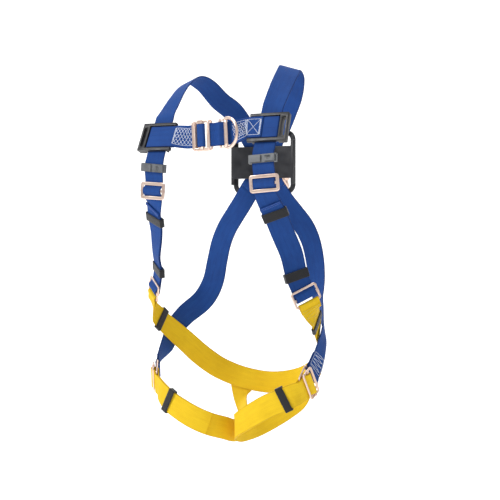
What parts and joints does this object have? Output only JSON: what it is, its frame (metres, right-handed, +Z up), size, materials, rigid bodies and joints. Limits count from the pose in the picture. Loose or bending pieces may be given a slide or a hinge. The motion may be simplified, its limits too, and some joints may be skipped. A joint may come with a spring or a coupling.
{
  "type": "safety harness",
  "caption": "Full-body fall-arrest harness as worn: shoulder, chest, waist, seat and leg webbing with sliding-bar buckles, adjusters, keepers, and front and rear attachment rings.",
  "frame": {"origin": "midway between the two shoulder straps, level with the top of the left one, where the harness rests on the wearer", "axes": "+Z up, the wearer faces -Y, the wearer's left is +X"},
  "size_m": [0.3851, 0.3016, 0.7326],
  "materials": {
    "blue_webbing": "woven polyester",
    "yellow_webbing": "woven polyester",
    "keeper_sleeve": "matt",
    "plated_steel": "warm plated",
    "black_plastic": "satin"
  },
  "bodies": {
    "harness": {"front_strap_right": "blue_webbing", "front_strap_left": "blue_webbing", "back_strap_right": "blue_webbing", "back_strap_left": "blue_webbing", "sub_pelvic_strap": "yellow_webbing", "leg_strap_right": "yellow_webbing", "leg_strap_left": "yellow_webbing", "torso_slide_right": "plated_steel", "torso_slide_left": "plated_steel", "hip_adjuster_right": "plated_steel", "hip_adjuster_left": "plated_steel", "leg_buckle_frame_right": "plated_steel", "leg_buckle_frame_left": "plated_steel", "leg_receiver_frame_right": "plated_steel", "leg_receiver_frame_left": "plated_steel", "dorsal_plate": "black_plastic"},
    "chest_assembly": {"chest_strap_right": "blue_webbing", "chest_strap_left": "blue_webbing", "chest_junction_right": "black_plastic", "chest_junction_left": "black_plastic", "chest_buckle_frame": "plated_steel", "chest_receiver_frame": "plated_steel"},
    "chest_buckle_bar": {"chest_buckle_bar": "plated_steel"},
    "chest_d_ring": {"chest_d_ring": "plated_steel"},
    "lanyard_keeper_right": {"lanyard_keeper_right": "black_plastic"},
    "torso_keeper_right": {"torso_keeper_right": "keeper_sleeve"},
    "hip_keeper_right": {"hip_keeper_right": "keeper_sleeve"},
    "leg_keeper_right": {"leg_keeper_right": "keeper_sleeve"},
    "side_keeper_right": {"side_keeper_right": "keeper_sleeve"},
    "torso_slide_bar_right": {"torso_slide_bar_right": "plated_steel"},
    "hip_adjuster_bar_right": {"hip_adjuster_bar_right": "plated_steel"},
    "leg_buckle_bar_right": {"leg_buckle_bar_right": "plated_steel"},
    "lanyard_keeper_left": {"lanyard_keeper_left": "black_plastic"},
    "torso_keeper_left": {"torso_keeper_left": "keeper_sleeve"},
    "hip_keeper_left": {"hip_keeper_left": "keeper_sleeve"},
    "leg_keeper_left": {"leg_keeper_left": "keeper_sleeve"},
    "side_keeper_left": {"side_keeper_left": "keeper_sleeve"},
    "torso_slide_bar_left": {"torso_slide_bar_left": "plated_steel"},
    "hip_adjuster_bar_left": {"hip_adjuster_bar_left": "plated_steel"},
    "leg_buckle_bar_left": {"leg_buckle_bar_left": "plated_steel"},
    "dorsal_d_ring": {"dorsal_d_ring": "plated_steel"}
  },
  "joints": [
    {"name": "chest_assembly_height", "type": "slide", "parent": "harness", "child": "chest_assembly", "axis": [0, 0.4104, 0.9119], "range_m": [-0.008, 0.008]},
    {"name": "chest_buckle_bar_travel", "type": "slide", "parent": "chest_assembly", "child": "chest_buckle_bar", "axis": [0.9986, 0, 0.0523], "range_m": [0, 0.0012]},
    {"name": "chest_d_ring_swing", "type": "hinge", "parent": "chest_assembly", "child": "chest_d_ring", "pos_m": [0.02594, -0.1231, -0.13041], "axis": [0.0523, 0, -0.9986], "range_deg": [-10, 95]},
    {"name": "lanyard_keeper_right_travel", "type": "slide", "parent": "harness", "child": "lanyard_keeper_right", "axis": [0.0919, -0.0564, 0.9942], "range_m": [-0.0035, 0.004]},
    {"name": "torso_keeper_right_travel", "type": "slide", "parent": "harness", "child": "torso_keeper_right", "axis": [0.1824, -0.4819, 0.857], "range_m": [-0.003, 0.004]},
    {"name": "hip_keeper_right_travel", "type": "slide", "parent": "harness", "child": "hip_keeper_right", "axis": [0.2219, -0.3353, 0.9156], "range_m": [-0.004, 0.002]},
    {"name": "leg_keeper_right_travel", "type": "slide", "parent": "harness", "child": "leg_keeper_right", "axis": [0.8325, -0.2213, -0.5079], "range_m": [-0.0025, 0.003]},
    {"name": "side_keeper_right_travel", "type": "slide", "parent": "harness", "child": "side_keeper_right", "axis": [0.2005, 0.7462, -0.6348], "range_m": [-0.0015, 0.003]},
    {"name": "torso_slide_bar_right_travel", "type": "slide", "parent": "harness", "child": "torso_slide_bar_right", "axis": [0.0698, -0.0199, 0.9974], "range_m": [-0.0012, 0.0012]},
    {"name": "hip_adjuster_bar_right_travel", "type": "slide", "parent": "harness", "child": "hip_adjuster_bar_right", "axis": [0.3237, -0.2717, 0.9063], "range_m": [-0.0012, 0]},
    {"name": "leg_buckle_bar_right_travel", "type": "slide", "parent": "harness", "child": "leg_buckle_bar_right", "axis": [-0.4598, 0.7597, 0.4598], "range_m": [0, 0.0012]},
    {"name": "lanyard_keeper_left_travel", "type": "slide", "parent": "harness", "child": "lanyard_keeper_left", "axis": [-0.0872, 0.179, 0.98], "range_m": [-0.0035, 0.004]},
    {"name": "torso_keeper_left_travel", "type": "slide", "parent": "harness", "child": "torso_keeper_left", "axis": [-0.1654, -0.4996, 0.8503], "range_m": [-0.003, 0.004]},
    {"name": "hip_keeper_left_travel", "type": "slide", "parent": "harness", "child": "hip_keeper_left", "axis": [-0.1904, -0.2845, 0.9396], "range_m": [-0.004, 0.002]},
    {"name": "leg_keeper_left_travel", "type": "slide", "parent": "harness", "child": "leg_keeper_left", "axis": [-0.8713, -0.2546, -0.4196], "range_m": [-0.0025, 0.003]},
    {"name": "side_keeper_left_travel", "type": "slide", "parent": "harness", "child": "side_keeper_left", "axis": [-0.2005, 0.7462, -0.6348], "range_m": [-0.0015, 0.003]},
    {"name": "torso_slide_bar_left_travel", "type": "slide", "parent": "harness", "child": "torso_slide_bar_left", "axis": [-0.0698, -0.0199, 0.9974], "range_m": [-0.0012, 0.0012]},
    {"name": "hip_adjuster_bar_left_travel", "type": "slide", "parent": "harness", "child": "hip_adjuster_bar_left", "axis": [-0.2602, -0.333, 0.9063], "range_m": [-0.0012, 0]},
    {"name": "leg_buckle_bar_left_travel", "type": "slide", "parent": "harness", "child": "leg_buckle_bar_left", "axis": [0.0799, 0.8385, 0.539], "range_m": [0, 0.0012]},
    {"name": "dorsal_d_ring_swing", "type": "hinge", "parent": "harness", "child": "dorsal_d_ring", "pos_m": [0, 0.098, -0.175], "axis": [1, 0, 0], "range_deg": [0, 100]}
  ]
}
